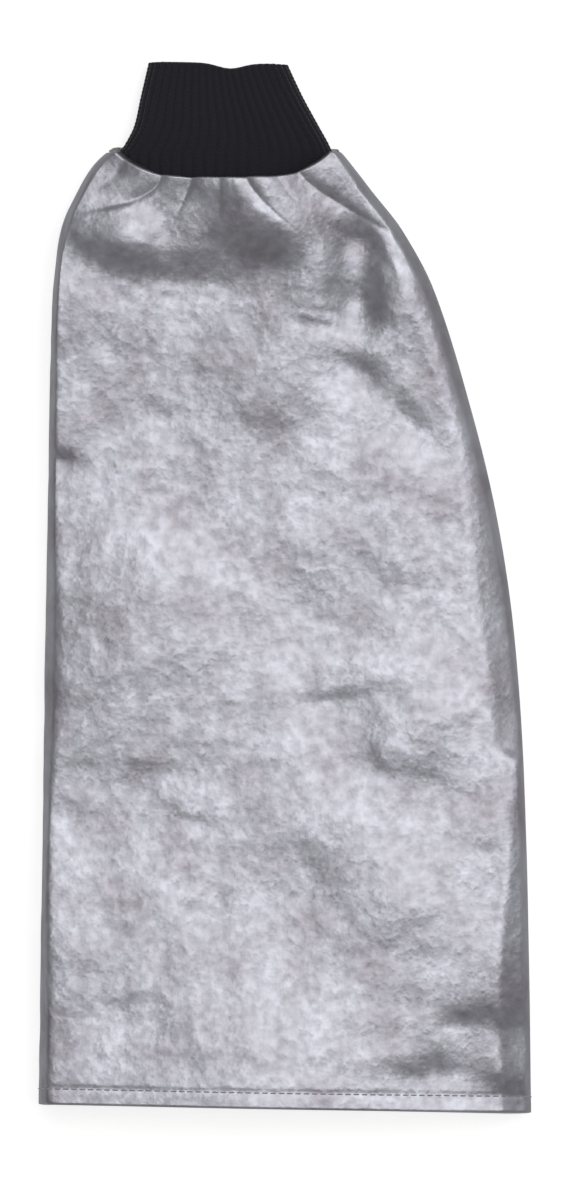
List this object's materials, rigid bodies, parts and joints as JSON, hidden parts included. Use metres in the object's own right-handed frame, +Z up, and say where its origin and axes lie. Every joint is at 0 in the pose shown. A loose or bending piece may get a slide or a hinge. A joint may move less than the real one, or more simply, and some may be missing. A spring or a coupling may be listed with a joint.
{
  "type": "aluminized work sleeve",
  "caption": "Flat-lying aluminized cloth arm sleeve with a turned hem at the open arm end, gathered at the wrist into a black ribbed knit cuff; shields a forearm from heat.",
  "frame": {"origin": "on the surface the sleeve lies on, under the middle of its outline", "axes": "+Y along the sleeve towards the knit cuff, +X across it, +Z up away from the surface"},
  "size_m": [0.214, 0.457, 0.0309],
  "materials": {
    "aluminized_cloth": "aluminium-coated cloth, lightly crumpled, satin metallic",
    "black_rib_knit": "matte rib knit"
  },
  "bodies": {
    "root": {"sleeve_body": "aluminized_cloth", "knit_cuff": "black_rib_knit"}
  },
  "joints": []
}
